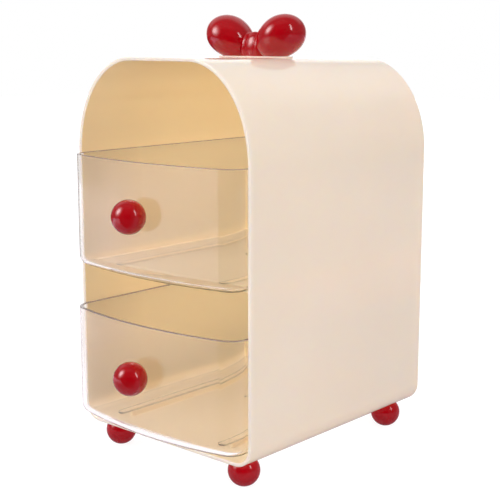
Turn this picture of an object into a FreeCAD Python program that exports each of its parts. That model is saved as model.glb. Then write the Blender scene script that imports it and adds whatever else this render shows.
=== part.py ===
import FreeCAD, Part
import math
import os

# Desktop mini drawers: a cream housing with a rounded top on four red balls,
# two clear drawers with red ball knobs, and a red bow on top.
# Millimetres, +Z up. X runs left to right seen from the front, drawers pull out along -Y.
# The origin is on the floor, in the middle of the box round the whole object.

# Housing
housing_width = 120.0
housing_depth = 144.0
housing_wall = 1.8
back_wall = 1.8
roof_flat = 40.0
crown_room = 47.5
bottom_corner = 10.5
side_draft = 1.0
top_draft = 2.0
rim_round = 0.6
back_round = 1.0

# Shelf between the two bays, and the rails on the housing's floor
bay_headroom = 19.6
shelf_thickness = 1.3
shelf_setback = 10.0
rail_height = 3.4
rail_width = 2.0
rail_setback = 12.0

# Drawers, two of the same moulding
drawer_height = 58.3
drawer_wall = 1.8
drawer_floor = 1.7
drawer_nose = 14.5
front_radius = 216.0
front_corner = 11.3
back_corner = 8.0
bottom_round = 6.0
lip_round = 0.3
side_gap = 0.4
back_gap = 0.3
lower_pull = 0.9

# Runners under a drawer's floor, and the mark that the moulding gate leaves on it
runner_height = 1.0
runner_width = 4.6
runner_spread = 72.8
runner_setback = 5.0
gate_radius = 1.5
gate_height = 0.3

# Ball knobs and their screws
knob_radius = 8.5
knob_standoff = 5.9
knob_drop = 25.8
shank_radius = 1.3
screw_reach = 6.0
head_radius = 2.7
head_height = 1.6
head_round = 0.6
slot_length = 3.0
slot_width = 0.7
slot_depth = 0.8
screw_gap = 0.2
thread_gap = 0.03

# Ball feet
foot_radius = 8.1
foot_centre_drop = 6.3
foot_flat_depth = 0.2
foot_side_inset = 15.0
foot_end_inset = 12.0
foot_peg_radius = 2.5

# Bow: two egg-shaped lobes that rise outwards, a gathered knot and a raised seat under it
lobe_outer_length = 12.4
lobe_inner_length = 15.2
lobe_radius = 10.45
lobe_breadth = 13.0
lobe_tilt_degrees = 32.0
lobe_reach = 18.4
lobe_lift = 10.5
bow_forward = 1.1
seat_height = 0.74
seat_length = 47.0
seat_breadth = 15.0
knot_width = 16.0
knot_height = 12.6
knot_radius = 8.8
knot_breadth = 5.6
knot_end_radius = 4.0
gather_width = 6.1
fold_width = 2.5
fold_radius = 8.5
crease_radius = 8.1
bow_peg_radius = 2.0
bow_peg_spread = 22.0

# Fits and working values
peg_gap = 0.05
overrun = 5.0
same = 0.001
full_turn = 360.0
spring_gap = 0.3
round_limit_share = 0.45

# Places worked out from the sizes above
x_axis = FreeCAD.Vector(1, 0, 0)
y_axis = FreeCAD.Vector(0, 1, 0)
z_axis = FreeCAD.Vector(0, 0, 1)

floor_gap = foot_centre_drop + foot_radius - foot_flat_depth
whole_depth = housing_depth + drawer_nose + lower_pull + knob_standoff + knob_radius
back_y = whole_depth / 2
rim_y = back_y - housing_depth
base_z = floor_gap
side_slope = side_draft / housing_depth
top_slope = top_draft / housing_depth
inner_back_y = back_y - back_wall

rail_top_z = base_z + housing_wall + rail_height
drawer_pitch = runner_height + drawer_height + bay_headroom + shelf_thickness
shelf_top_z = rail_top_z + drawer_pitch
crown_z = shelf_top_z + runner_height + drawer_height
top_z = crown_z + crown_room + housing_wall
shoulder_run = (housing_width - roof_flat) / 2
shoulder_drop = top_z - crown_z - spring_gap
rim_radius = min(rim_round, housing_wall * round_limit_share)
lip_radius = min(lip_round, drawer_wall * round_limit_share)
nose_y = rim_y - drawer_nose
drawer_back_y = inner_back_y - back_gap
front_centre_y = nose_y + front_radius


def vec(x, y, z):
    return FreeCAD.Vector(x, y, z)


def arch_wire(half_width, low_z, high_z, corner, run, drop, y):
    """Outline of the housing in the plane at y: flat floor, small bottom corners, elliptical shoulders."""
    floor_run = half_width - corner
    roof_run = half_width - run
    spring_z = high_z - drop
    diagonal = 1 / math.sqrt(2)
    edges = []
    edges.append(Part.makeLine(vec(-floor_run, y, low_z), vec(floor_run, y, low_z)))
    corner_mid = vec(floor_run + corner * diagonal, y, low_z + corner - corner * diagonal)
    right_low = vec(half_width, y, low_z + corner)
    edges.append(Part.Arc(vec(floor_run, y, low_z), corner_mid, right_low).toShape())
    edges.append(Part.makeLine(right_low, vec(half_width, y, spring_z)))
    spring = vec(half_width, y, spring_z)
    edges.append(quarter_ellipse(vec(roof_run, y, spring_z), spring, vec(roof_run, y, high_z)))
    edges.append(Part.makeLine(vec(roof_run, y, high_z), vec(-roof_run, y, high_z)))
    spring = vec(-half_width, y, spring_z)
    edges.append(quarter_ellipse(vec(-roof_run, y, spring_z), spring, vec(-roof_run, y, high_z)))
    left_low = vec(-half_width, y, low_z + corner)
    edges.append(Part.makeLine(spring, left_low))
    corner_mid = vec(-floor_run - corner * diagonal, y, low_z + corner - corner * diagonal)
    edges.append(Part.Arc(left_low, corner_mid, vec(-floor_run, y, low_z)).toShape())
    return Part.Wire(Part.__sortEdges__(edges))


def quarter_ellipse(centre, first_end, second_end):
    """Quarter of an ellipse about centre, between the ends of its two half axes."""
    if first_end.distanceToPoint(centre) < second_end.distanceToPoint(centre):
        ellipse = Part.Ellipse(second_end, first_end, centre)
    else:
        ellipse = Part.Ellipse(first_end, second_end, centre)
    low, high = sorted((ellipse.parameter(first_end), ellipse.parameter(second_end)))
    if high - low > math.pi:
        low, high = high, high + math.pi / 2
    return ellipse.toShape(low, high)


def arch_body(inset, front_y, end_y):
    """Solid arch with the housing's drafts, drawn in by inset on every side."""
    wires = []
    for y in (front_y, end_y):
        run_back = y - rim_y
        half = housing_width / 2 - inset - side_slope * run_back
        low = base_z + inset
        high = top_z - inset - top_slope * run_back
        corner = bottom_corner - inset
        run = shoulder_run - inset
        drop = shoulder_drop - inset
        wires.append(arch_wire(half, low, high, corner, run, drop, y))
    return Part.makeLoft(wires, True, True)


def edges_at_y(shape, y):
    """Edges that lie in the plane at y."""
    flat = []
    for edge in shape.Edges:
        box = edge.BoundBox
        if abs(box.YMin - y) < same and abs(box.YMax - y) < same:
            flat.append(edge)
    return flat


def edges_at_z(shape, z):
    """Edges that lie in the plane at z."""
    flat = []
    for edge in shape.Edges:
        box = edge.BoundBox
        if abs(box.ZMin - z) < same and abs(box.ZMax - z) < same:
            flat.append(edge)
    return flat


def stadium(length, width, height, centre_x, front_y, low_z):
    """Flat strip along Y with round ends, standing on low_z."""
    radius = width / 2
    start = front_y + radius
    strip = Part.makeBox(width, length - width, height, vec(centre_x - radius, start, low_z))
    for end_y in (start, front_y + length - radius):
        strip = strip.fuse(Part.makeCylinder(radius, height, vec(centre_x, end_y, low_z)))
    return strip.removeSplitter()


def foot_places():
    """Centre of each foot in plan, by name."""
    side = housing_width / 2 - foot_side_inset
    front = rim_y + foot_end_inset
    back = back_y - foot_end_inset
    places = {}
    places["foot_front_left"] = (-side, front)
    places["foot_front_right"] = (side, front)
    places["foot_back_left"] = (-side, back)
    places["foot_back_right"] = (side, back)
    return places


def bow_pegs(radius):
    """Two pegs from the bow down through the seat and the roof."""
    low = top_z - top_draft - housing_wall
    pegs = []
    for side in (-1, 1):
        x = side * bow_peg_spread / 2
        pegs.append(Part.makeCylinder(radius, bow_base_z() + lobe_lift - low, vec(x, bow_y(), low)))
    return pegs


def bow_y():
    """The bow stands a little in front of the middle of the roof."""
    return rim_y + housing_depth / 2 - bow_forward


def roof_z(y):
    return top_z - top_slope * (y - rim_y)


def bow_base_z():
    """Top of the seat, which is level although the roof falls to the back."""
    return roof_z(bow_y()) + seat_height


def make_seat():
    """Raised flat under the bow, moulded on the roof."""
    low = roof_z(bow_y()) - housing_wall / 2
    strip = Part.makeBox(seat_length, seat_breadth, bow_base_z() - low)
    strip.translate(vec(-seat_length / 2, bow_y() - seat_breadth / 2, low))
    upright = [edge for edge in strip.Edges if edge.BoundBox.ZLength > seat_height]
    return strip.makeFillet(seat_breadth / 2 - same, upright)


def make_housing():
    """Shell with its closed back, shelf, floor rails, bow seat and peg holes."""
    outer = arch_body(0, rim_y, back_y)
    outer = outer.makeFillet(back_round, edges_at_y(outer, back_y))
    cavity_front = rim_y - overrun
    cavity = arch_body(housing_wall, cavity_front, inner_back_y)
    shell = outer.cut(cavity)
    shell = shell.makeFillet(rim_radius, edges_at_y(shell, rim_y))
    shelf_front = rim_y + shelf_setback
    slab = Part.makeBox(housing_width, housing_depth, shelf_thickness)
    slab.translate(vec(-housing_width / 2, shelf_front, shelf_top_z - shelf_thickness))
    outer_core = arch_body(housing_wall / 2, rim_y, back_y - back_wall / 2)
    shelf = slab.common(outer_core)
    shell = shell.fuse(shelf)
    rail_length = inner_back_y - rim_y - 2 * rail_setback
    rail_low = base_z + housing_wall / 2
    for side in (-1, 1):
        x = side * runner_spread / 2
        rail = stadium(rail_length, rail_width, rail_top_z - rail_low, x, rim_y + rail_setback, rail_low)
        shell = shell.fuse(rail)
    seat = make_seat().cut(cavity)
    shell = shell.fuse(seat)
    for x, y in foot_places().values():
        hole = Part.makeCylinder(foot_peg_radius + peg_gap, housing_wall + 2 * overrun)
        hole.translate(vec(x, y, base_z - overrun))
        shell = shell.cut(hole)
    for hole in bow_pegs(bow_peg_radius + peg_gap):
        shell = shell.cut(hole)
    return shell.removeSplitter()


def make_foot(x, y):
    """Ball cut level by the housing's floor, with a small flat to stand on and a peg through the floor."""
    centre_z = base_z - foot_centre_drop
    flat_radius = math.sqrt(foot_radius ** 2 - centre_z ** 2)
    cut_radius = math.sqrt(foot_radius ** 2 - foot_centre_drop ** 2)
    peg_top = base_z + housing_wall
    points = [vec(0, 0, 0), vec(flat_radius, 0, 0)]
    edges = [Part.makeLine(points[0], points[1])]
    cut_edge = vec(cut_radius, 0, base_z)
    edges.append(Part.Arc(points[1], vec(foot_radius, 0, centre_z), cut_edge).toShape())
    points = [cut_edge, vec(foot_peg_radius, 0, base_z), vec(foot_peg_radius, 0, peg_top), vec(0, 0, peg_top)]
    edges = edges + Part.makePolygon(points + [vec(0, 0, 0)]).Edges
    foot = turned(edges)
    foot.translate(vec(x, y, 0))
    return foot


def turned(edges):
    """Solid turned about the Z axis from the edges of a closed half section."""
    section = Part.Face(Part.Wire(Part.__sortEdges__(edges)))
    return section.revolve(vec(0, 0, 0), z_axis, full_turn)


def make_lobe(side):
    """Egg with its fat end outwards, wider across than it is high, tilted up away from the knot."""
    centre = vec(0, 0, 0)
    crown = vec(0, 0, lobe_radius)
    outer_tip = vec(side * lobe_outer_length, 0, 0)
    inner_tip = vec(-side * lobe_inner_length, 0, 0)
    edges = [quarter_ellipse(centre, outer_tip, crown), quarter_ellipse(centre, inner_tip, crown)]
    edges.append(Part.makeLine(inner_tip, outer_tip))
    wire = Part.Wire(Part.__sortEdges__(edges))
    egg = Part.Face(wire).revolve(vec(0, 0, 0), x_axis, full_turn)
    stretch = FreeCAD.Matrix()
    stretch.scale(1, lobe_breadth / lobe_radius, 1)
    egg = egg.transformGeometry(stretch)
    egg.rotate(vec(0, 0, 0), y_axis, -side * lobe_tilt_degrees)
    egg.translate(vec(side * lobe_reach, bow_y(), bow_base_z() + lobe_lift))
    return egg


def make_knot():
    """Band round the middle of the bow: a wide gather, a thin fold each side, ends that run into the lobes."""
    gather = gather_width / 2
    fold = gather + fold_width
    end = knot_width / 2
    creases = [vec(-gather, 0, crease_radius), vec(gather, 0, crease_radius)]
    edges = [Part.Arc(creases[0], vec(0, 0, knot_radius), creases[1]).toShape()]
    for side, crease in zip((-1, 1), creases):
        crown = vec(side * (gather + fold) / 2, 0, fold_radius)
        outer = vec(side * fold, 0, crease_radius)
        edges.append(Part.Arc(crease, crown, outer).toShape())
        edges.append(Part.makeLine(outer, vec(side * end, 0, knot_end_radius)))
        edges.append(Part.makeLine(vec(side * end, 0, knot_end_radius), vec(side * end, 0, 0)))
    edges.append(Part.makeLine(vec(-end, 0, 0), vec(end, 0, 0)))
    face = Part.Face(Part.Wire(Part.__sortEdges__(edges)))
    band = face.revolve(vec(0, 0, 0), x_axis, full_turn)
    stretch = FreeCAD.Matrix()
    stretch.scale(1, knot_breadth / knot_radius, 1)
    band = band.transformGeometry(stretch)
    band.translate(vec(0, bow_y(), bow_base_z() + knot_height - knot_radius))
    return band


def make_bow():
    """Lobes and knot in one piece, cut level where they meet the seat, with two pegs under them."""
    bow = make_lobe(-1).fuse(make_knot()).fuse(make_lobe(1))
    reach = lobe_reach + lobe_inner_length + lobe_outer_length
    below = Part.makeBox(2 * reach, 2 * reach, 2 * reach)
    below.translate(vec(-reach, bow_y() - reach, bow_base_z() - 2 * reach))
    bow = bow.cut(below)
    for peg in bow_pegs(bow_peg_radius):
        bow = bow.fuse(peg.cut(arch_body(housing_wall, rim_y, inner_back_y)))
    return bow


def tub(inset, low_z, high_z):
    """Solid with the drawer's plan, drawn in by inset: curved front, round corners and round bottom edges."""
    half_front = housing_width / 2 - housing_wall - side_gap - inset
    stretch = overrun + drawer_nose
    far = rim_y - stretch
    wide = half_front + side_slope * stretch
    end_y = drawer_back_y - inset
    narrow = half_front - side_slope * (end_y - rim_y)
    points = [vec(-wide, far, low_z), vec(wide, far, low_z)]
    points += [vec(narrow, end_y, low_z), vec(-narrow, end_y, low_z)]
    outline = Part.makePolygon(points + points[:1])
    block = Part.Face(outline).extrude(vec(0, 0, high_z - low_z))
    drum = Part.makeCylinder(front_radius - inset, high_z - low_z, vec(0, front_centre_y, low_z))
    block = block.common(drum)
    upright = [edge for edge in block.Edges if edge.BoundBox.ZLength > drawer_height / 2]
    front = [edge for edge in upright if edge.BoundBox.Center.y < end_y - back_corner]
    block = block.makeFillet(front_corner - inset, front)
    upright = [edge for edge in block.Edges if edge.BoundBox.ZLength > drawer_height / 2]
    back = [edge for edge in upright if abs(edge.BoundBox.Center.y - end_y) < same]
    block = block.makeFillet(back_corner - inset, back)
    return block.makeFillet(bottom_round - inset, edges_at_z(block, low_z))


def make_drawer(seat_z, pull):
    """Clear tub with a curved front, standing on two runners on seat_z and pulled out by pull."""
    under_z = seat_z + runner_height
    lip_z = under_z + drawer_height
    floor_z = under_z + drawer_floor
    outer = tub(0, under_z, lip_z)
    hollow = tub(drawer_wall, floor_z, lip_z + overrun)
    drawer = outer.cut(hollow)
    drawer = drawer.makeFillet(lip_radius, edges_at_z(drawer, lip_z))
    runner_length = drawer_back_y - rim_y - runner_setback - bottom_round
    for side in (-1, 1):
        x = side * runner_spread / 2
        depth = runner_height + drawer_floor / 2
        strip = stadium(runner_length, runner_width, depth, x, rim_y + runner_setback, seat_z)
        drawer = drawer.fuse(strip)
    gate_y = (rim_y + back_y) / 2
    gate = Part.makeCylinder(gate_radius, gate_height + drawer_floor / 2)
    gate.translate(vec(0, gate_y, floor_z - drawer_floor / 2))
    drawer = drawer.fuse(gate)
    hole = Part.makeCylinder(shank_radius + screw_gap, drawer_wall + 2 * overrun)
    hole.rotate(vec(0, 0, 0), x_axis, -full_turn / 4)
    hole.translate(vec(0, nose_y - overrun, lip_z - knob_drop))
    drawer = drawer.cut(hole).removeSplitter()
    drawer.translate(vec(0, -pull, 0))
    return drawer


def knob_height(seat_z):
    return seat_z + runner_height + drawer_height - knob_drop


def make_knob(seat_z, pull):
    """Ball cut flat where it meets the drawer's front, bored for its screw."""
    cut_radius = math.sqrt(knob_radius ** 2 - knob_standoff ** 2)
    bore_radius = shank_radius + thread_gap
    bore_depth = screw_reach + screw_gap
    rim = vec(cut_radius, 0, 0)
    tip = vec(0, 0, knob_standoff + knob_radius)
    edges = [Part.Arc(rim, vec(knob_radius, 0, knob_standoff), tip).toShape()]
    points = [tip, vec(0, 0, bore_depth), vec(bore_radius, 0, bore_depth), vec(bore_radius, 0, 0), rim]
    knob = turned(edges + Part.makePolygon(points).Edges)
    knob.rotate(vec(0, 0, 0), x_axis, full_turn / 4)
    knob.translate(vec(0, nose_y - pull, knob_height(seat_z)))
    return knob


def make_screw(seat_z, pull):
    """Round-headed screw from inside the drawer, through its front and into the knob."""
    z = knob_height(seat_z)
    inner_radius = front_radius - drawer_wall
    bow_in = inner_radius - math.sqrt(inner_radius ** 2 - head_radius ** 2)
    seat_y = nose_y + drawer_wall + bow_in
    head = Part.makeCylinder(head_radius, head_height)
    head = head.makeFillet(head_round, edges_at_z(head, head_height))
    for turn in (0, full_turn / 4):
        slot = Part.makeBox(slot_length, slot_width, slot_depth + overrun)
        slot.translate(vec(-slot_length / 2, -slot_width / 2, head_height - slot_depth))
        slot.rotate(vec(0, 0, 0), z_axis, turn)
        head = head.cut(slot)
    shank_length = seat_y - nose_y + screw_reach
    shank = Part.makeCylinder(shank_radius, shank_length, vec(0, 0, -shank_length))
    screw = head.fuse(shank)
    screw.rotate(vec(0, 0, 0), x_axis, -full_turn / 4)
    screw.translate(vec(0, seat_y - pull, z))
    return screw


def make_parts():
    """Every sub-part of the object by its name."""
    parts = {}
    parts["housing"] = make_housing()
    for name, place in foot_places().items():
        parts[name] = make_foot(place[0], place[1])
    parts["bow"] = make_bow()
    seats = {"upper": (shelf_top_z, 0), "lower": (rail_top_z, lower_pull)}
    for level, seat in seats.items():
        parts[level + "_drawer"] = make_drawer(seat[0], seat[1])
        parts[level + "_knob"] = make_knob(seat[0], seat[1])
        parts[level + "_knob_screw"] = make_screw(seat[0], seat[1])
    return parts


def main():
    os.makedirs("parts", exist_ok=True)
    for name, shape in make_parts().items():
        box = shape.BoundBox
        print(name, shape.isValid(), len(shape.Solids), round(shape.Volume), box)
        shape.exportStep("parts/" + name + ".step")


main()
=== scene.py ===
import math

import bmesh
import bpy
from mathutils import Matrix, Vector


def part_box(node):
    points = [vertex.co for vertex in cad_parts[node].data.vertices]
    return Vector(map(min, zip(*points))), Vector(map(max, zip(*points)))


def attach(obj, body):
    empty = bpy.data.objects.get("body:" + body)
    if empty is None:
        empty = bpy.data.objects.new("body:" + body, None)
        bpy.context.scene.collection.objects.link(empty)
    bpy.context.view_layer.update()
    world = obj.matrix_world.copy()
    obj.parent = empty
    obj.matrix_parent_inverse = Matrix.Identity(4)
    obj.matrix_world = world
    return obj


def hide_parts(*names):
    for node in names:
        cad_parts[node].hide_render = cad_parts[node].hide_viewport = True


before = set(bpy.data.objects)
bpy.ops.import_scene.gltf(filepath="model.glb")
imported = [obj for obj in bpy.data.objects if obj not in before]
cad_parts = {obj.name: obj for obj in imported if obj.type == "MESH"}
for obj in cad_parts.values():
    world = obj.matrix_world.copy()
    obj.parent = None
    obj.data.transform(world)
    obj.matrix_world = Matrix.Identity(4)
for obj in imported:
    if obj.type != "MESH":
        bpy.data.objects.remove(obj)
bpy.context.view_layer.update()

# Places of the housing and the drawers, from the frame
housing_low, housing_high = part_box("housing")
half_width = housing_high.x
rim_y = housing_low.y
back_y = housing_high.y
base_z = housing_low.z
top_z = housing_high.z
upper_low, upper_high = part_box("upper_drawer")
lower_low, lower_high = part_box("lower_drawer")
knob_boxes = {"upper_knob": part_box("upper_knob"), "lower_knob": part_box("lower_knob")}
foot_names = ("foot_front_left", "foot_front_right", "foot_back_left", "foot_back_right")

# Sizes of the housing in metres
wall = 0.0018
roof_flat = 0.040
shoulder_drop = 0.049
bottom_corner = 0.0105
side_draft = 0.001
top_draft = 0.002
rim_round = 0.0006
back_round = 0.001
inner_round = 0.0012
shelf_thickness = 0.0013
shelf_setback = 0.010
rail_width = 0.002
rail_setback = 0.012

# Sizes of a drawer
drawer_wall = 0.0018
drawer_floor = 0.0017
front_radius = 0.216
front_corner = 0.0113
back_corner = 0.008
bottom_round = 0.006
lip_round = 0.0003
side_gap = 0.0004
back_gap = 0.0003
runner_height = 0.001
runner_width = 0.0046
runner_spread = 0.0728
runner_setback = 0.005
gate_radius = 0.0015
gate_height = 0.0003

# Sizes of the balls
knob_standoff = 0.0059
foot_radius = 0.0081
foot_centre_drop = 0.0063
ball_edge = 0.0002
ball_cap_share = 0.8

# Sizes of the bow
lobe_outer_length = 0.0124
lobe_inner_length = 0.0152
lobe_radius = 0.01045
lobe_breadth = 0.013
lobe_tilt = math.radians(32)
lobe_reach = 0.0184
lobe_lift = 0.0105
bow_forward = 0.0011
seat_height = 0.00074
seat_length = 0.047
seat_breadth = 0.015
knot_width = 0.016
knot_height = 0.0126
knot_tall = 0.0088
knot_breadth = 0.0056
knot_end_radius = 0.004
gather_width = 0.0061
fold_width = 0.0025
fold_radius = 0.0085
crease_radius = 0.0081
wrinkle_share = 0.012
wrinkle_count = 11
wrinkle_slant = 0.0016
knot_round_power = 0.8

# How much more large faces count than small ones in the shading
normal_weight = 100

# Steps along the housing's outline and depth
arch_floor_steps = 6
arch_corner_steps = 12
arch_wall_steps = 8
arch_shoulder_steps = 40
arch_roof_steps = 4
depth_steps = 6
edge_steps = 5
strip_edge_steps = 4
strip_end_steps = 16

# Steps along a drawer's plan and height
front_steps = 36
front_corner_steps = 20
side_steps = 8
back_corner_steps = 12
back_steps = 4
height_steps = 4
bottom_steps = 12
inside_bottom_steps = 10
gate_steps = 32

# Steps along and round the balls and the bow
turn_steps = 96
ball_steps = 48
lobe_steps = 64
knot_steps = 128
knot_turn_steps = 160

# Colours of the cream plastic outside, and its rim painted paler as painted light where light
# passes the thin edge
cream_low = (0.84, 0.70, 0.60)
cream_high = (0.86, 0.72, 0.62)
cream_rim_lit = (0.88, 0.745, 0.665)
rim_pale_from = 0.0006
rim_pale_to = 0.0024

# Colours of the cream plastic inside, on upright and on level faces, painted a warmer tan as
# painted light; upright faces painted darker near the front as painted shade
inside_front_shaded = (0.80, 0.63, 0.39)
inside_deep = (0.90, 0.725, 0.455)
inside_floor = (0.82, 0.66, 0.445)
inside_floor_spread = 1.02
inside_depth = 0.065

# Which faces of the inside count as level and which as roof, by how far they face up
level_band = (0.2, 0.8)
roof_band = (-0.6, -0.2)

# Painted light, a glow for the light that passes the thin walls: its colour, its strength by
# height, and how it fades at the rim
painted_inside_glow = (1.0, 0.68, 0.33)
glow_low = 0.06
glow_lower_bay = 0.15
glow_upper_bay = 0.12
glow_high = 0.02
glow_fade = 0.012
glow_roof = 0.08
glow_depth = 0.04
glow_at_rim = 0.25

# Each step of the painted glow: from which height to which, and its share below and above. It is
# dimmer in the gap below the shelf and above the upper drawer, as painted shade
glow_steps = (
    (lower_low.z + glow_fade, lower_high.z - 2 * glow_fade, glow_low, glow_lower_bay),
    (lower_high.z - glow_fade / 2, lower_high.z + glow_fade / 3, 1, glow_low / glow_lower_bay),
    (upper_low.z - glow_fade / 2, upper_low.z + glow_fade / 2, 1, glow_upper_bay / glow_low),
    (upper_high.z - glow_fade / 2, upper_high.z + glow_fade / 2, 1, glow_high / glow_upper_bay),
)

# Light inside the cream plastic: how far each colour spreads, and how far and how much in all
spread_colours = (1.0, 0.7, 0.4)
outside_spread = 0.006
outside_share = 0.5
inside_spread = 0.004
inside_share = 0.25

# Colours of the red plastic, the clear plastic, its lip painted dark as painted shade, and the
# steel
red_low = (0.345, 0.0004, 0.0040)
red_high = (0.375, 0.0006, 0.0050)
clear_low = (0.998, 0.985, 0.989)
clear_high = (0.999, 0.989, 0.993)
clear_for_lamps = (0.985, 0.975, 0.965)
clear_bending = 1.45
# The lip's dark tint is painted shade for the dark line that the edge shows
lip_shaded_low = (0.32, 0.25, 0.26)
lip_shaded_high = (0.38, 0.30, 0.31)
lip_clearness = 0.5
steel_low = (0.50, 0.50, 0.50)
steel_high = (0.64, 0.63, 0.62)

# Roughness of each material, low and high
cream_rough = (0.05, 0.08)
inside_rough = (0.48, 0.56)
red_rough = (0.09, 0.13)
clear_rough = (0.015, 0.04)
lip_rough = (0.15, 0.25)
steel_rough = (0.25, 0.4)

# Fineness of the noise in each material's colour, in waves per metre
cream_mottle = 14
inside_mottle = 12
red_mottle = 90
clear_mottle = 20
steel_marks = 2500

# Fineness of the noise in each material's roughness, in waves per metre
cream_grain = 60
red_grain = 220
clear_grain = 80
steel_grain = 1200

# Layers of finer noise on top, and the part of the noise's range that each look uses
noise_detail = 2.0
colour_band = (0.35, 0.65)
rough_band = (0.3, 0.7)

# Fine unevenness of the moulded surfaces: its depth, and its fineness and strength
bump_depth = 0.0002
cream_bump = (700, 0.05)
red_bump = (260, 0.03)

# Levels of the studio: world light, gloss of the bright and the dark side, and the floor's shades
world_level = 0.25
gloss_behind = 1.4
gloss_side = 0.25
gloss_front = 0.02
gloss_ceiling = 0.80
floor_level = 0.60
floor_gloss = (0.52, 0.41, 0.48)
floor_gloss_far = (1.50, 1.28, 1.55)
floor_dark = (0.08, 0.07, 0.08)
floor_shadow = 0.30
floor_glow = 0.78
through_world = (0.80, 0.775, 0.745)
through_far_floor = (0.80, 0.76, 0.72)
through_near_floor = (1.15, 1.10, 1.15)
floor_half = 3.0

# Where the gloss of the world changes, by the cosine to the front and by height
front_way = (0.667, -0.745, 0.0)
behind_band = (-0.93, -0.83)
front_band = (0.40, 0.60)
ceiling_band = (0.30, 0.50)
ceiling_forward_band = (-0.5, -0.2)
ceiling_front_share = 0.15

# Where the floor's shades change, by places and distances in metres and by cosines
right_way = (0.956, -0.294, 0)
right_dark_band = (0.060, 0.068)
front_dark_band = (-0.16, -0.06)
left_way = (-0.990, 0.139, 0)
left_dark_band = (0.76, 0.94)
left_dark_reach = (0.32, 0.48)
far_gloss_reach = (0.20, 0.45)
far_gloss_left = (-0.05, 0.05)
far_through_reach = (0.16, 0.26)
horizon_reach = (0.5, 1.6)

# Lamps that only gloss shows: a strip, and a window of nested ovals, each with its size and
# level, from wide and faint to small and bright and one step nearer each
window_way = (-0.469, -0.715, 0.52)
window_distance = 1.5
window_step = 0.02
window_height_share = 1.2
window_ovals = ((1.3, 0.7), (1.0, 1.5), (0.72, 3.5), (0.45, 5.0))
strip_way = (0.838, 0.067, 0.539)
strip_size = (0.20, 1.0)
strip_level = 10.0

# Lamps that light the surfaces: name, direction, distance, size, level, and if shadows fall
soft_lamps = (
    ("left_front", window_way, 1.6, 1.35, 1.2, True),
    ("even_front", (-0.05, -1, 0.12), 1.6, 1.35, 1.7, False),
    ("even_back", (0, 1, 0.12), 1.6, 1.35, 2.7, False),
    ("even_top", (0, -0.2, 1), 1.6, 1.35, 2.9, False),
    ("even_right", (1, -0.1, 0.30), 1.1, 0.9, 2.85, False),
    ("even_left", (-1, -0.1, 0.30), 1.1, 0.9, 2.4, False),
)

# Camera at the photograph's angle
camera_azimuth = math.radians(41.83)
camera_elevation = math.radians(10.64)
camera_distance = 0.6127
aim_right = 0.0010
aim_forward = 0.0064
aim_height = 0.0910
camera_aim = Vector((aim_right, (rim_y + back_y) / 2 - aim_forward, base_z + aim_height))
camera_lens = 82.1
camera_near = 0.01
camera_far = 20

side_slope = side_draft / (back_y - rim_y)
top_slope = top_draft / (back_y - rim_y)
shoulder_run = half_width - roof_flat / 2
middle_y = (rim_y + back_y) / 2
bow_y = middle_y - bow_forward
seat_top = top_z - top_slope * (bow_y - rim_y) + seat_height


def sweep(count, first, last):
    """count + 1 even steps from first to last."""
    return [first + (last - first) * i / count for i in range(count + 1)]


def quarter(count):
    """Steps of a quarter round of radius 1: one side grows from 0 while the other shrinks to 0."""
    return [(1 - math.cos(a), 1 - math.sin(a)) for a in sweep(count, 0, math.pi / 2)]


def placed(name, data):
    """New object in the scene."""
    thing = bpy.data.objects.new(name, data)
    bpy.context.scene.collection.objects.link(thing)
    return thing


def built(name, build):
    """New piece with the built mesh, its faces turned outwards."""
    bmesh.ops.recalc_face_normals(build, faces=build.faces)
    mesh = bpy.data.meshes.new(name)
    build.to_mesh(mesh)
    build.free()
    return placed(name, mesh)


def ring_mesh(name, rings, inner_from=None):
    """Closed mesh through rings of as many points each, with a flat cap at both ends.

    From the ring numbered inner_from on, the skin takes the second material.
    """
    build = bmesh.new()
    loops = [[build.verts.new(p) for p in ring] for ring in rings]
    for i, (a, b) in enumerate(zip(loops, loops[1:])):
        for j in range(len(a)):
            k = (j + 1) % len(a)
            face = build.faces.new((a[j], a[k], b[k], b[j]))
            face.smooth = True
            if inner_from is not None and i >= inner_from:
                face.material_index = 1
    build.faces.new(loops[0][::-1])
    cap = build.faces.new(loops[-1])
    if inner_from is not None:
        cap.material_index = 1
    return built(name, build)


def even_normals(piece):
    """Lets the large faces set the shading, so that flat walls stay flat beside rounded edges."""
    modifier = piece.modifiers.new("even", "WEIGHTED_NORMAL")
    modifier.keep_sharp = True
    modifier.weight = normal_weight


def unite(piece, others):
    """Unites piece with each of the others, and keeps the result as its mesh."""
    for other in others:
        modifier = piece.modifiers.new("join", "BOOLEAN")
        modifier.operation = "UNION"
        modifier.solver = "EXACT"
        modifier.object = other
        graph = bpy.context.evaluated_depsgraph_get()
        mesh = bpy.data.meshes.new_from_object(piece.evaluated_get(graph))
        piece.modifiers.remove(modifier)
        old = piece.data
        piece.data = mesh
        bpy.data.meshes.remove(old)
        bpy.data.objects.remove(other)


def arch(inset, y):
    """Outline of the housing in the plane at y, drawn in by inset, with elliptical shoulders."""
    run_back = y - rim_y
    half = half_width - inset - side_slope * run_back
    low = base_z + inset
    high = top_z - inset - top_slope * run_back
    corner = bottom_corner - inset
    run = shoulder_run - inset
    drop = shoulder_drop - inset
    floor_run = half - corner
    roof_run = half - run
    right = [(floor_run * t, low) for t in sweep(arch_floor_steps, 0, 1)[:-1]]
    for a in sweep(arch_corner_steps, -math.pi / 2, 0):
        right.append((floor_run + corner * math.cos(a), low + corner + corner * math.sin(a)))
    for t in sweep(arch_wall_steps, 0, 1)[1:-1]:
        right.append((half, low + corner + t * (high - drop - low - corner)))
    for a in sweep(arch_shoulder_steps, 0, math.pi / 2):
        right.append((roof_run + run * math.cos(a), high - drop + drop * math.sin(a)))
    right += [(roof_run * t, high) for t in sweep(arch_roof_steps, 1, 0)[1:]]
    left = [(-x, z) for x, z in right[-2:0:-1]]
    return [(x, y, z) for x, z in right + left]


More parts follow.
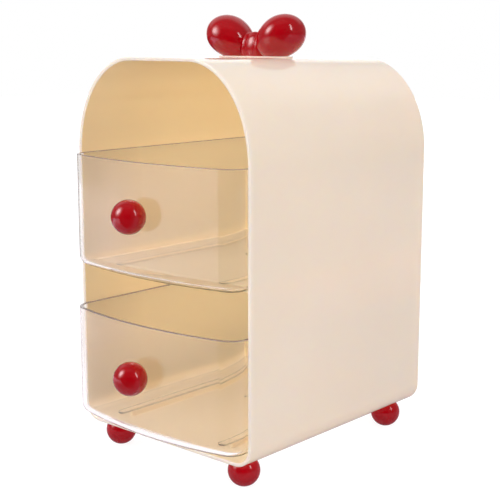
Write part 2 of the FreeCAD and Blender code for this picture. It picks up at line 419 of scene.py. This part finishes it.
def housing_shell():
    """The cream moulding: outside, rounded rim and inside in one closed skin."""
    rings = []
    for grow, shrink in quarter(edge_steps):
        rings.append(arch(back_round * shrink, back_y - back_round * grow))
    for y in sweep(depth_steps, back_y - back_round, rim_y + rim_round)[1:-1]:
        rings.append(arch(0, y))
    for grow, shrink in quarter(edge_steps):
        rings.append(arch(rim_round * grow, rim_y + rim_round * shrink))
    for grow, shrink in quarter(edge_steps):
        rings.append(arch(wall - rim_round * shrink, rim_y + rim_round * grow))
    inner_from = len(rings) - 1
    inner_back = back_y - wall
    for y in sweep(depth_steps, rim_y + rim_round, inner_back - inner_round)[1:-1]:
        rings.append(arch(wall, y))
    for grow, shrink in quarter(edge_steps):
        rings.append(arch(wall + inner_round * grow, inner_back - inner_round * shrink))
    piece = ring_mesh("housing_shell", rings, inner_from)
    even_normals(piece)
    return piece


def stadium_rings(length, width, low, high, edge, centre):
    """Rings of an upright strip with round ends along Y, its top edge rounded by edge."""
    radius = width / 2
    outline = []
    for a in sweep(strip_end_steps, 0, math.pi):
        outline.append((math.cos(a), math.sin(a), 1))
    for a in sweep(strip_end_steps, math.pi, 2 * math.pi):
        outline.append((math.cos(a), math.sin(a), -1))

    def ring(inset, z):
        reach = length / 2 - radius
        inner = radius - inset
        points = []
        for x, y, side in outline:
            points.append((centre[0] + inner * x, centre[1] + inner * y + reach * side, z))
        return points

    rings = [ring(0, low)]
    for grow, shrink in quarter(strip_edge_steps):
        rings.append(ring(edge * grow, high - edge * shrink))
    return rings


def bow_seat():
    """Raised flat under the bow."""
    low = seat_top - seat_height - wall / 2
    rings = stadium_rings(seat_length, seat_breadth, low, seat_top, seat_height / 3, (0, 0))
    rings = [[(-y, bow_y + x, z) for x, y, z in ring] for ring in rings]
    piece = ring_mesh("bow_seat", rings)
    even_normals(piece)
    return piece


def shelf():
    """Shelf under the upper drawer, let into the walls."""
    top = upper_low.z
    front = rim_y + shelf_setback
    end = back_y - wall / 2
    edge = shelf_thickness / 4
    rings = []
    steps = [(front + edge * grow, edge * shrink) for grow, shrink in quarter(strip_edge_steps)]
    for y, draw in steps + [(end, 0)]:
        half = half_width - wall / 2 - side_slope * (y - rim_y)
        low = top - shelf_thickness + draw
        high = top - draw
        rings.append([(-half, y, low), (half, y, low), (half, y, high), (-half, y, high)])
    piece = ring_mesh("shelf", rings)
    for face in piece.data.polygons:
        face.use_smooth = False
    return piece


def rail(side, name):
    """Low rail on the housing's floor that carries one of the lower drawer's runners."""
    front = rim_y + rail_setback
    end = back_y - wall - rail_setback
    centre = (side * runner_spread / 2, (front + end) / 2)
    low = base_z + wall / 2
    rings = stadium_rings(end - front, rail_width, low, lower_low.z, wall / 5, centre)
    piece = ring_mesh(name, rings)
    even_normals(piece)
    return piece


def tub_plan(inset, z, shift):
    """Plan of a drawer drawn in by inset: curved front, round corners, sides that taper."""
    nose_y = upper_low.y
    centre_y = nose_y + front_radius
    radius = front_radius - inset
    corner = front_corner - inset
    half_front = half_width - wall - side_gap - inset
    tilt = math.hypot(1, side_slope)
    reach = half_front + side_slope * rim_y - corner * tilt
    b = reach * side_slope + centre_y
    c = reach ** 2 + centre_y ** 2 - (radius - corner) ** 2
    corner_y = (b - math.sqrt(b ** 2 - tilt ** 2 * c)) / tilt ** 2
    corner_x = reach - side_slope * corner_y
    start = math.atan2(corner_x, centre_y - corner_y)
    end = math.pi / 2 + math.atan(side_slope)
    right = []
    for a in sweep(front_steps, 0, start)[:-1]:
        right.append((radius * math.sin(a), centre_y - radius * math.cos(a)))
    for a in sweep(front_corner_steps, start, end):
        right.append((corner_x + corner * math.sin(a), corner_y - corner * math.cos(a)))
    back = back_corner - inset
    end_y = back_y - wall - back_gap - inset
    centre = (half_front - side_slope * (end_y - back - rim_y) - back * tilt, end_y - back)
    first = (centre[0] + back * math.sin(end), centre[1] - back * math.cos(end))
    last = right[-1]
    for t in sweep(side_steps, 0, 1)[1:-1]:
        right.append((last[0] + t * (first[0] - last[0]), last[1] + t * (first[1] - last[1])))
    for a in sweep(back_corner_steps, end, math.pi):
        right.append((centre[0] + back * math.sin(a), centre[1] - back * math.cos(a)))
    right += [(centre[0] * t, end_y) for t in sweep(back_steps, 1, 0)[1:]]
    left = [(-x, y) for x, y in right[-2:0:-1]]
    return [(x, y + shift, z) for x, y in right + left]


def drawer(name, low, high, shift):
    """One clear drawer: tub with a rounded bottom edge and lip, two runners, the gate's mark."""
    under = low.z + runner_height
    lip = high.z
    floor = under + drawer_floor
    rings = []
    for grow, shrink in quarter(bottom_steps):
        rings.append((bottom_round * shrink, under + bottom_round * grow))
    rings += [(0, z) for z in sweep(height_steps, under + bottom_round, lip - lip_round)[1:-1]]
    for grow, shrink in quarter(edge_steps):
        rings.append((lip_round * grow, lip - lip_round * shrink))
    for grow, shrink in quarter(edge_steps):
        rings.append((drawer_wall - lip_round * shrink, lip - lip_round * grow))
    inner = bottom_round - drawer_wall
    rings += [(drawer_wall, z) for z in sweep(height_steps, lip - lip_round, floor + inner)[1:-1]]
    for grow, shrink in quarter(inside_bottom_steps):
        rings.append((drawer_wall + inner * grow, floor + inner * shrink))
    piece = ring_mesh(name, [tub_plan(inset, z, shift) for inset, z in rings])
    extras = []
    drawer_back = back_y - wall - back_gap
    front = rim_y + runner_setback
    length = drawer_back - rim_y - runner_setback - bottom_round
    for side in (-1, 1):
        centre = (side * runner_spread / 2, front + length / 2 + shift)
        root = -under - drawer_floor / 2
        strip = stadium_rings(length, runner_width, root, -low.z, runner_height / 5, centre)
        strip = [[(x, y, -z) for x, y, z in ring] for ring in strip]
        extras.append(ring_mesh("runner", strip))
    mark = []
    gate_y = middle_y + shift
    turn = sweep(gate_steps, 0, 2 * math.pi)[:-1]
    circle = [(gate_radius * math.cos(a), gate_radius * math.sin(a)) for a in turn]
    for z in (floor - drawer_floor / 2, floor + gate_height):
        mark.append([(x, gate_y + y, z) for x, y in circle])
    extras.append(ring_mesh("gate", mark))
    unite(piece, extras)
    for face in piece.data.polygons:
        if face.center.z > lip - lip_round:
            face.material_index = 1
    even_normals(piece)
    return piece


def lathe(name, profile, axis, origin):
    """Closed mesh turned from pairs of radius and height about an axis through origin."""
    direction = Vector(axis)
    side = Vector((1, 0, 0))
    across = direction.cross(side)
    turn = sweep(turn_steps, 0, 2 * math.pi)[:-1]
    ways = [side * math.cos(a) + across * math.sin(a) for a in turn]
    build = bmesh.new()
    loops = []
    for radius, height in profile:
        centre = Vector(origin) + direction * height
        if radius == 0:
            loops.append([build.verts.new(centre)])
        else:
            loops.append([build.verts.new(centre + way * radius) for way in ways])
    for a, b in zip(loops, loops[1:]):
        for j in range(turn_steps):
            k = (j + 1) % turn_steps
            corners = [a[j % len(a)], a[k % len(a)], b[k % len(b)], b[j % len(b)]]
            unique = list(dict.fromkeys(corners))
            build.faces.new(unique).smooth = True
    return built(name, build)


def cut_ball(radius, centre):
    """Profile of a ball about height centre, from its far tip to a flat cut at height zero."""
    end = math.acos(-centre / radius)
    profile = [(0, centre + radius)]
    for a in sweep(ball_steps, 0, end - ball_edge / radius)[1:]:
        profile.append((radius * math.sin(a), centre + radius * math.cos(a)))
    rim = radius * math.sin(end)
    profile.append((rim - ball_edge / 2, 0))
    profile.append((rim * ball_cap_share, 0))
    profile.append((0, 0))
    return profile


def knob(name):
    """One of the drawers' red balls."""
    low, high = knob_boxes[name]
    radius = high.x
    centre = (0, high.y, (low.z + high.z) / 2)
    profile = cut_ball(radius, knob_standoff)
    return lathe(name + "_ball", profile, (0, -1, 0), centre)


def foot(name):
    """One of the red balls that the housing stands on, with a flat where it rests."""
    low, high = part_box(name)
    profile = cut_ball(foot_radius, foot_centre_drop)
    flat = base_z
    profile = [(r, h) for r, h in profile if h <= flat]
    flat_radius = math.sqrt(foot_radius ** 2 - (flat - foot_centre_drop) ** 2)
    profile = [(0, flat), (flat_radius, flat)] + profile
    centre = ((low.x + high.x) / 2, (low.y + high.y) / 2, base_z)
    return lathe(name + "_ball", profile, (0, 0, -1), centre)


def egg_point(side, u, turn):
    """Point on a lobe: u runs along its axis from the inner tip, -1, to the outer tip, 1."""
    length = lobe_outer_length if u > 0 else lobe_inner_length
    radius = math.sqrt(max(0, 1 - u * u))
    along = length * u
    rise = lobe_radius * radius * math.sin(turn)
    breadth = lobe_breadth * radius * math.cos(turn)
    x = lobe_reach + along * math.cos(lobe_tilt) - rise * math.sin(lobe_tilt)
    z = lobe_lift + along * math.sin(lobe_tilt) + rise * math.cos(lobe_tilt)
    return Vector((side * x, bow_y + breadth, seat_top + z))


def cut_level(piece, z):
    """Cuts the piece off level at z and closes it there."""
    build = bmesh.new()
    build.from_mesh(piece.data)
    everything = build.verts[:] + build.edges[:] + build.faces[:]
    cut = bmesh.ops.bisect_plane(
        build, geom=everything, plane_co=(0, 0, z), plane_no=(0, 0, -1), clear_outer=True
    )
    edges = [e for e in cut["geom_cut"] if isinstance(e, bmesh.types.BMEdge)]
    bmesh.ops.contextual_create(build, geom=edges)
    bmesh.ops.recalc_face_normals(build, faces=build.faces)
    build.to_mesh(piece.data)
    build.free()


def bow_lobe(side, name):
    """One of the bow's two egg-shaped loops."""
    rings = []
    for a in sweep(lobe_steps, 0, math.pi)[1:-1]:
        u = -math.cos(a)
        rings.append([egg_point(side, u, t) for t in sweep(turn_steps, 0, 2 * math.pi)[:-1]])
    piece = ring_mesh(name, rings)
    cut_level(piece, seat_top)
    return piece


def knot_radius(x):
    """The knot's radius at x: a wide gather, a thin fold each side, and tapering ends."""
    away = abs(x)
    gather = gather_width / 2
    fold = gather + fold_width
    if away < gather:
        swell = math.cos(away / gather * math.pi / 2) ** knot_round_power
        return crease_radius + (knot_tall - crease_radius) * swell
    if away < fold:
        place = 2 * (away - gather) / fold_width - 1
        return crease_radius + (fold_radius - crease_radius) * math.cos(place * math.pi / 2)
    taper = (knot_end_radius - crease_radius) * (away - fold)
    return crease_radius + taper / (knot_width / 2 - fold)


def bow_knot():
    """Gathered middle of the bow, with fine wrinkles over its top."""
    rings = []
    for x in sweep(knot_steps, -knot_width / 2, knot_width / 2):
        radius = knot_radius(x)
        ring = []
        for a in sweep(knot_turn_steps, 0, 2 * math.pi)[:-1]:
            wave = math.sin(wrinkle_count * a + x / wrinkle_slant)
            wrinkle = 1 + wrinkle_share * wave * max(0, math.sin(a)) ** 2
            y = bow_y + radius * knot_breadth / knot_tall * wrinkle * math.cos(a)
            z = seat_top + knot_height - knot_tall + radius * wrinkle * math.sin(a)
            ring.append((x, y, z))
        rings.append(ring)
    piece = ring_mesh("bow_knot", rings)
    cut_level(piece, seat_top)
    return piece


def new_material(name):
    """Material with its nodes, its links and its shader."""
    material = bpy.data.materials.new(name)
    material.use_nodes = True
    nodes = material.node_tree.nodes
    return material, nodes, material.node_tree.links, nodes["Principled BSDF"]


def object_place(nodes):
    """A point's place in its object, in metres."""
    return nodes.new("ShaderNodeTexCoord").outputs["Object"]


def parts_of(nodes, links, vector):
    """X, Y and Z of a vector."""
    node = nodes.new("ShaderNodeSeparateXYZ")
    links.new(vector, node.inputs[0])
    return node.outputs


def vector_sum(nodes, links, operation, vector, other=(0, 0, 0)):
    """Result of a sum on a vector: a vector for NORMALIZE, or else a value."""
    node = nodes.new("ShaderNodeVectorMath")
    node.operation = operation
    links.new(vector, node.inputs[0])
    node.inputs[1].default_value = other
    return node.outputs["Vector" if operation == "NORMALIZE" else "Value"]


def noise(nodes, links, scale):
    """Noise in the object's own place."""
    texture = nodes.new("ShaderNodeTexNoise")
    texture.inputs["Scale"].default_value = scale
    texture.inputs["Detail"].default_value = noise_detail
    links.new(object_place(nodes), texture.inputs["Vector"])
    return texture.outputs["Fac"]


def ramp(nodes, links, value, low, high, first, last):
    """Maps value from low..high to first..last."""
    node = nodes.new("ShaderNodeMapRange")
    node.inputs["From Min"].default_value = low
    node.inputs["From Max"].default_value = high
    node.inputs["To Min"].default_value = first
    node.inputs["To Max"].default_value = last
    links.new(value, node.inputs["Value"])
    return node.outputs["Result"]


def combine(nodes, links, operation, first, second):
    """Result of a sum on two values. Each is a socket or a number."""
    node = nodes.new("ShaderNodeMath")
    node.operation = operation
    for socket, value in zip(node.inputs, (first, second)):
        if isinstance(value, (int, float)):
            socket.default_value = value
        else:
            links.new(value, socket)
    return node.outputs[0]


def blend_colour(nodes, links, factor, first, last):
    """Colour between two colours, each a socket or three numbers."""
    node = nodes.new("ShaderNodeMix")
    node.data_type = "RGBA"
    links.new(factor, node.inputs[0])
    for socket, colour in ((node.inputs[6], first), (node.inputs[7], last)):
        if isinstance(colour, (tuple, list)):
            socket.default_value = (*colour, 1)
        else:
            links.new(colour, socket)
    return node.outputs[2]


def pick(nodes, links, factor, first, last):
    """Shader that is first where factor is 0 and last where it is 1."""
    node = nodes.new("ShaderNodeMixShader")
    links.new(factor, node.inputs[0])
    links.new(first, node.inputs[1])
    links.new(last, node.inputs[2])
    return node.outputs[0]


def mottled(nodes, links, scale, first, last, band=colour_band):
    """Colour that wanders between two colours over the surface."""
    share = ramp(nodes, links, noise(nodes, links, scale), *band, 0, 1)
    return blend_colour(nodes, links, share, first, last)


def uneven_roughness(nodes, links, shader, scale, limits):
    """Roughness that wanders between two limits over the surface."""
    rough = ramp(nodes, links, noise(nodes, links, scale), *rough_band, *limits)
    links.new(rough, shader.inputs["Roughness"])


def soft_bump(nodes, links, shader, scale, strength):
    """Fine unevenness of a moulded surface."""
    bump = nodes.new("ShaderNodeBump")
    bump.inputs["Strength"].default_value = strength
    bump.inputs["Distance"].default_value = bump_depth
    links.new(noise(nodes, links, scale), bump.inputs["Height"])
    links.new(bump.outputs["Normal"], shader.inputs["Normal"])


def let_light_in(shader, scale, share):
    """The cream plastic passes some light, and more of the warm colours than of blue."""
    shader.inputs["Subsurface Radius"].default_value = spread_colours
    shader.inputs["Subsurface Scale"].default_value = scale
    shader.inputs["Subsurface Weight"].default_value = share


def cream_outside():
    """Glossy cream plastic, painted paler along the thin rim as painted light where light passes
    it.
    """
    material, nodes, links, shader = new_material("cream_plastic")
    body = mottled(nodes, links, cream_mottle, cream_low, cream_high)
    place = parts_of(nodes, links, object_place(nodes))
    # Painted light: paler along the rim, where light passes the thin edge
    rim = ramp(nodes, links, place["Y"], rim_y + rim_pale_from, rim_y + rim_pale_to, 1, 0)
    links.new(blend_colour(nodes, links, rim, body, cream_rim_lit), shader.inputs["Base Color"])
    let_light_in(shader, outside_spread, outside_share)
    uneven_roughness(nodes, links, shader, cream_grain, cream_rough)
    soft_bump(nodes, links, shader, *cream_bump)
    return material


def cream_inside_painted_light():
    """The same plastic inside, painted a warmer tan as painted light for the warm light that
    passes the thin walls, and darker near the front as painted shade. Light that passes the thin
    walls is also a faint painted glow.
    """
    material, nodes, links, shader = new_material("cream_plastic_inside")
    let_light_in(shader, inside_spread, inside_share)
    normal = nodes.new("ShaderNodeNewGeometry").outputs["Normal"]
    tilt = parts_of(nodes, links, normal)["Z"]
    level = ramp(nodes, links, tilt, *level_band, 0, 1)
    place = parts_of(nodes, links, object_place(nodes))
    # Painted shade: upright faces darker near the front, paler deeper in
    depth = ramp(nodes, links, place["Y"], rim_y, rim_y + inside_depth, 0, 1)
    upright = blend_colour(nodes, links, depth, inside_front_shaded, inside_deep)
    paler = [inside_floor_spread * c for c in inside_floor]
    flat = mottled(nodes, links, inside_mottle, inside_floor, paler)
    links.new(blend_colour(nodes, links, level, upright, flat), shader.inputs["Base Color"])
    # Painted light: a glow that fades at the rim, steps by height with painted shade in the gaps,
    # stays off level faces and is stronger on the roof
    glow = ramp(nodes, links, place["Y"], rim_y, rim_y + glow_depth, glow_at_rim, 1)
    for start, end, first, last in glow_steps:
        step = ramp(nodes, links, place["Z"], start, end, first, last)
        glow = combine(nodes, links, "MULTIPLY", glow, step)
    glow = combine(nodes, links, "MULTIPLY", glow, ramp(nodes, links, level, 0, 1, 1, 0))
    roof = ramp(nodes, links, tilt, *roof_band, glow_roof, 0)
    shader.inputs["Emission Color"].default_value = (*painted_inside_glow, 1)
    links.new(combine(nodes, links, "ADD", glow, roof), shader.inputs["Emission Strength"])
    uneven_roughness(nodes, links, shader, cream_grain, inside_rough)
    soft_bump(nodes, links, shader, *cream_bump)
    return material


def red_plastic():
    """Glossy deep red plastic."""
    material, nodes, links, shader = new_material("red_plastic")
    links.new(mottled(nodes, links, red_mottle, red_low, red_high), shader.inputs["Base Color"])
    uneven_roughness(nodes, links, shader, red_grain, red_rough)
    soft_bump(nodes, links, shader, *red_bump)
    return material


def clear_plastic():
    """Clear plastic with a faint rosy tint. Lamps' light passes it."""
    material, nodes, links, shader = new_material("clear_plastic")
    tint = blend_colour(nodes, links, noise(nodes, links, clear_mottle), clear_low, clear_high)
    links.new(tint, shader.inputs["Base Color"])
    uneven_roughness(nodes, links, shader, clear_grain, clear_rough)
    shader.inputs["IOR"].default_value = clear_bending
    shader.inputs["Transmission Weight"].default_value = 1.0
    path = nodes.new("ShaderNodeLightPath").outputs
    lamp = nodes.new("ShaderNodeBsdfTransparent")
    lamp.inputs["Color"].default_value = (*clear_for_lamps, 1)
    mix = pick(nodes, links, path["Is Shadow Ray"], shader.outputs[0], lamp.outputs[0])
    links.new(mix, nodes["Material Output"].inputs["Surface"])
    return material


def clear_edge():
    """The clear plastic's lip, tinted darker as painted shade for the dark line its edge shows,
    and scattering more light than its faces.
    """
    material, nodes, links, shader = new_material("clear_plastic_edge")
    tint = blend_colour(nodes, links, noise(nodes, links, clear_mottle), lip_shaded_low, lip_shaded_high)
    links.new(tint, shader.inputs["Base Color"])
    uneven_roughness(nodes, links, shader, clear_grain, lip_rough)
    shader.inputs["IOR"].default_value = clear_bending
    shader.inputs["Transmission Weight"].default_value = lip_clearness
    return material


def screw_steel():
    """Plain steel with fine turning marks."""
    material, nodes, links, shader = new_material("screw_steel")
    shader.inputs["Metallic"].default_value = 1.0
    colour = mottled(nodes, links, steel_marks, steel_low, steel_high, rough_band)
    links.new(colour, shader.inputs["Base Color"])
    uneven_roughness(nodes, links, shader, steel_grain, steel_rough)
    return material


def dress(piece, materials, body, slot, *nodes):
    """Gives a piece its materials and body, and hides the nodes that it stands for. The record
    slot is not used.
    """
    for material in materials:
        piece.data.materials.append(material)
    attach(piece, body)
    if nodes:
        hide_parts(*nodes)


def make_object():
    """Every piece, with its material and the body that it moves with."""
    cream = cream_outside()
    tan = cream_inside_painted_light()
    red = red_plastic()
    clear = clear_plastic()
    edge = clear_edge()
    steel = screw_steel()
    dress(housing_shell(), [cream, tan], "housing", "cream_plastic", "housing")
    dress(bow_seat(), [cream], "housing", "cream_plastic")
    dress(shelf(), [tan], "housing", "cream_plastic")
    for side, name in ((-1, "floor_rail_left"), (1, "floor_rail_right")):
        dress(rail(side, name), [tan], "housing", "cream_plastic")
    dress(bow_lobe(-1, "bow_lobe_left"), [red], "housing", "red_plastic", "bow")
    dress(bow_lobe(1, "bow_lobe_right"), [red], "housing", "red_plastic", "bow")
    dress(bow_knot(), [red], "housing", "red_plastic", "bow")
    for name in foot_names:
        dress(foot(name), [red], "housing", "red_plastic", name)
    pulls = {"upper": (upper_low, upper_high), "lower": (lower_low, lower_high)}
    for level, (low, high) in pulls.items():
        body = level + "_drawer"
        tub = drawer(body + "_tub", low, high, low.y - upper_low.y)
        dress(tub, [clear, edge], body, "clear_plastic", body)
        dress(knob(level + "_knob"), [red], body, "red_plastic", level + "_knob")
        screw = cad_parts[level + "_knob_screw"]
        screw.material_slots[0].material = steel


def light_path(nodes, links):
    """Light Path's outputs, and a factor that is 1 until a ray has left a matt surface."""
    path = nodes.new("ShaderNodeLightPath")
    return path.outputs, combine(nodes, links, "LESS_THAN", path.outputs["Diffuse Depth"], 0.5)


def facing(nodes, links, direction):
    """Cosine between a place's direction in the world and a given direction."""
    place = nodes.new("ShaderNodeTexCoord").outputs["Generated"]
    return vector_sum(nodes, links, "DOT_PRODUCT", place, Vector(direction).normalized())


def make_world():
    """White behind the object, plain light round it, and a studio with a dark side in gloss."""
    world = bpy.data.worlds.new("studio")
    bpy.context.scene.world = world
    world.use_nodes = True
    nodes = world.node_tree.nodes
    links = world.node_tree.links
    light = nodes["Background"]
    light.inputs["Color"].default_value = (1, 1, 1, 1)
    light.inputs["Strength"].default_value = world_level
    gloss = nodes.new("ShaderNodeBackground")
    forward = facing(nodes, links, front_way)
    behind = ramp(nodes, links, forward, *behind_band, gloss_behind, gloss_side)
    front = ramp(nodes, links, forward, *front_band, 1, gloss_front / gloss_side)
    round_about = combine(nodes, links, "MULTIPLY", behind, front)
    ceiling = ramp(nodes, links, facing(nodes, links, (0, 0, 1)), *ceiling_band, 0, gloss_ceiling)
    back_share = ramp(nodes, links, forward, *ceiling_forward_band, 1, ceiling_front_share)
    ceiling = combine(nodes, links, "MULTIPLY", ceiling, back_share)
    links.new(combine(nodes, links, "MAXIMUM", round_about, ceiling), gloss.inputs["Strength"])
    path, direct = light_path(nodes, links)
    tint = blend_colour(nodes, links, path["Is Transmission Ray"], (1.0, 1.0, 1.0), through_world)
    links.new(tint, gloss.inputs["Color"])
    white = nodes.new("ShaderNodeBackground")
    white.inputs["Color"].default_value = (1, 1, 1, 1)
    white.inputs["Strength"].default_value = 1.0
    bent = combine(nodes, links, "MAXIMUM", path["Is Glossy Ray"], path["Is Transmission Ray"])
    bent = combine(nodes, links, "MULTIPLY", bent, direct)
    lit = pick(nodes, links, bent, light.outputs[0], gloss.outputs[0])
    seen = pick(nodes, links, path["Is Camera Ray"], lit, white.outputs[0])
    links.new(seen, nodes["World Output"].inputs["Surface"])


def floor_in_gloss(nodes, links, place, reach):
    """The floor's colour in gloss: paler far off, dark at the front right and far left."""
    split = parts_of(nodes, links, place)
    rightward = vector_sum(nodes, links, "DOT_PRODUCT", place, right_way)
    right = ramp(nodes, links, rightward, *right_dark_band, 0, 1)
    front = ramp(nodes, links, split["Y"], *front_dark_band, 1, 0)
    front_right = combine(nodes, links, "MULTIPLY", right, front)
    along = vector_sum(nodes, links, "NORMALIZE", place)
    leftward = vector_sum(nodes, links, "DOT_PRODUCT", along, left_way)
    left = ramp(nodes, links, leftward, *left_dark_band, 0, 1)
    distant = ramp(nodes, links, reach, *left_dark_reach, 0, 1)
    far_left = combine(nodes, links, "MULTIPLY", left, distant)
    dark = combine(nodes, links, "MAXIMUM", front_right, far_left)
    away = ramp(nodes, links, reach, *far_gloss_reach, 0, 1)
    left_half = ramp(nodes, links, split["X"], *far_gloss_left, 1, 0)
    paler = combine(nodes, links, "MULTIPLY", away, left_half)
    pale = blend_colour(nodes, links, paler, floor_gloss, floor_gloss_far)
    return blend_colour(nodes, links, dark, pale, floor_dark)


def matt(nodes, level):
    """Matt shader of an even grey."""
    shader = nodes.new("ShaderNodeBsdfDiffuse")
    shader.inputs["Color"].default_value = (level, level, level, 1)
    return shader.outputs[0]


def floor_material():
    """White to the camera but for soft shadows, pale to matt light, shaded to gloss."""
    material, nodes, links, shader = new_material("pale_floor")
    nodes.remove(shader)
    place = object_place(nodes)
    reach = vector_sum(nodes, links, "LENGTH", place)
    dim = nodes.new("ShaderNodeBsdfDiffuse")
    links.new(floor_in_gloss(nodes, links, place, reach), dim.inputs["Color"])
    glow = nodes.new("ShaderNodeEmission")
    white = nodes.new("ShaderNodeAddShader")
    links.new(matt(nodes, floor_shadow), white.inputs[0])
    links.new(glow.outputs[0], white.inputs[1])
    path, direct = light_path(nodes, links)
    far = ramp(nodes, links, reach, *far_through_reach, 0, 1)
    through = blend_colour(nodes, links, far, through_near_floor, through_far_floor)
    tint = blend_colour(nodes, links, path["Is Transmission Ray"], (1.0, 1.0, 1.0), through)
    links.new(tint, glow.inputs["Color"])
    whiter = ramp(nodes, links, reach, *horizon_reach, floor_glow, 1.0)
    links.new(whiter, glow.inputs["Strength"])
    shown = combine(nodes, links, "MAXIMUM", path["Is Camera Ray"], path["Is Transmission Ray"])
    shown = combine(nodes, links, "MULTIPLY", shown, direct)
    glossy = combine(nodes, links, "MULTIPLY", path["Is Glossy Ray"], direct)
    lit = pick(nodes, links, glossy, matt(nodes, floor_level), dim.outputs[0])
    seen = pick(nodes, links, shown, lit, white.outputs[0])
    links.new(seen, nodes["Material Output"].inputs["Surface"])
    return material


def make_floor():
    """Pale floor that shows white with the object's soft shadow on it."""
    mesh = bpy.data.meshes.new("floor")
    half = floor_half
    corners = [(-half, -half, 0), (half, -half, 0), (half, half, 0), (-half, half, 0)]
    mesh.from_pydata(corners, [], [(0, 1, 2, 3)])
    floor = placed("floor", mesh)
    mesh.materials.append(floor_material())


def area_lamp(name, direction, distance, size, size_y, radiance, kind="matt", shadow=True):
    """Soft oval lamp in a direction from the object's middle, for matt or for glossy light.

    An even oval of a radiance sends out pi times that radiance for each unit of its area.
    """
    lamp = bpy.data.lights.new(name, "AREA")
    lamp.shape = "ELLIPSE"
    lamp.size = size
    lamp.size_y = size_y
    lamp.energy = radiance * math.pi ** 2 / 4 * size * size_y
    lamp.use_shadow = shadow
    holder = placed(name, lamp)
    way = Vector(direction).normalized()
    middle = Vector((0, middle_y, top_z / 2))
    holder.location = middle + way * distance
    holder.rotation_mode = "QUATERNION"
    holder.rotation_quaternion = way.to_track_quat("Z", "Y")
    holder.visible_glossy = kind == "gloss"
    holder.visible_diffuse = kind == "matt"
    holder.visible_transmission = kind == "gloss"


def make_lamps():
    """The window and the strip for gloss, and the soft lamps for the surfaces."""
    for i, (size, level) in enumerate(window_ovals):
        distance = window_distance - window_step * i
        tall = window_height_share * size
        area_lamp("window_%d" % i, window_way, distance, size, tall, level, kind="gloss")
    area_lamp("right_strip", strip_way, window_distance, *strip_size, strip_level, kind="gloss")
    for name, direction, distance, size, level, shadow in soft_lamps:
        area_lamp(name, direction, distance, size, size, level, shadow=shadow)


def make_camera():
    """Camera that looks from the photograph's side."""
    camera = bpy.data.cameras.new("camera")
    camera.lens = camera_lens
    camera.clip_start = camera_near
    camera.clip_end = camera_far
    holder = placed("camera", camera)
    flat = math.cos(camera_elevation)
    side, front = math.sin(camera_azimuth) * flat, -math.cos(camera_azimuth) * flat
    back = Vector((side, front, math.sin(camera_elevation)))
    holder.location = camera_aim + back * camera_distance
    holder.rotation_euler = (math.pi / 2 - camera_elevation, 0, camera_azimuth)
    bpy.context.scene.camera = holder


make_object()
make_world()
make_floor()
make_lamps()
make_camera()
bpy.context.scene.view_settings.view_transform = "Standard"
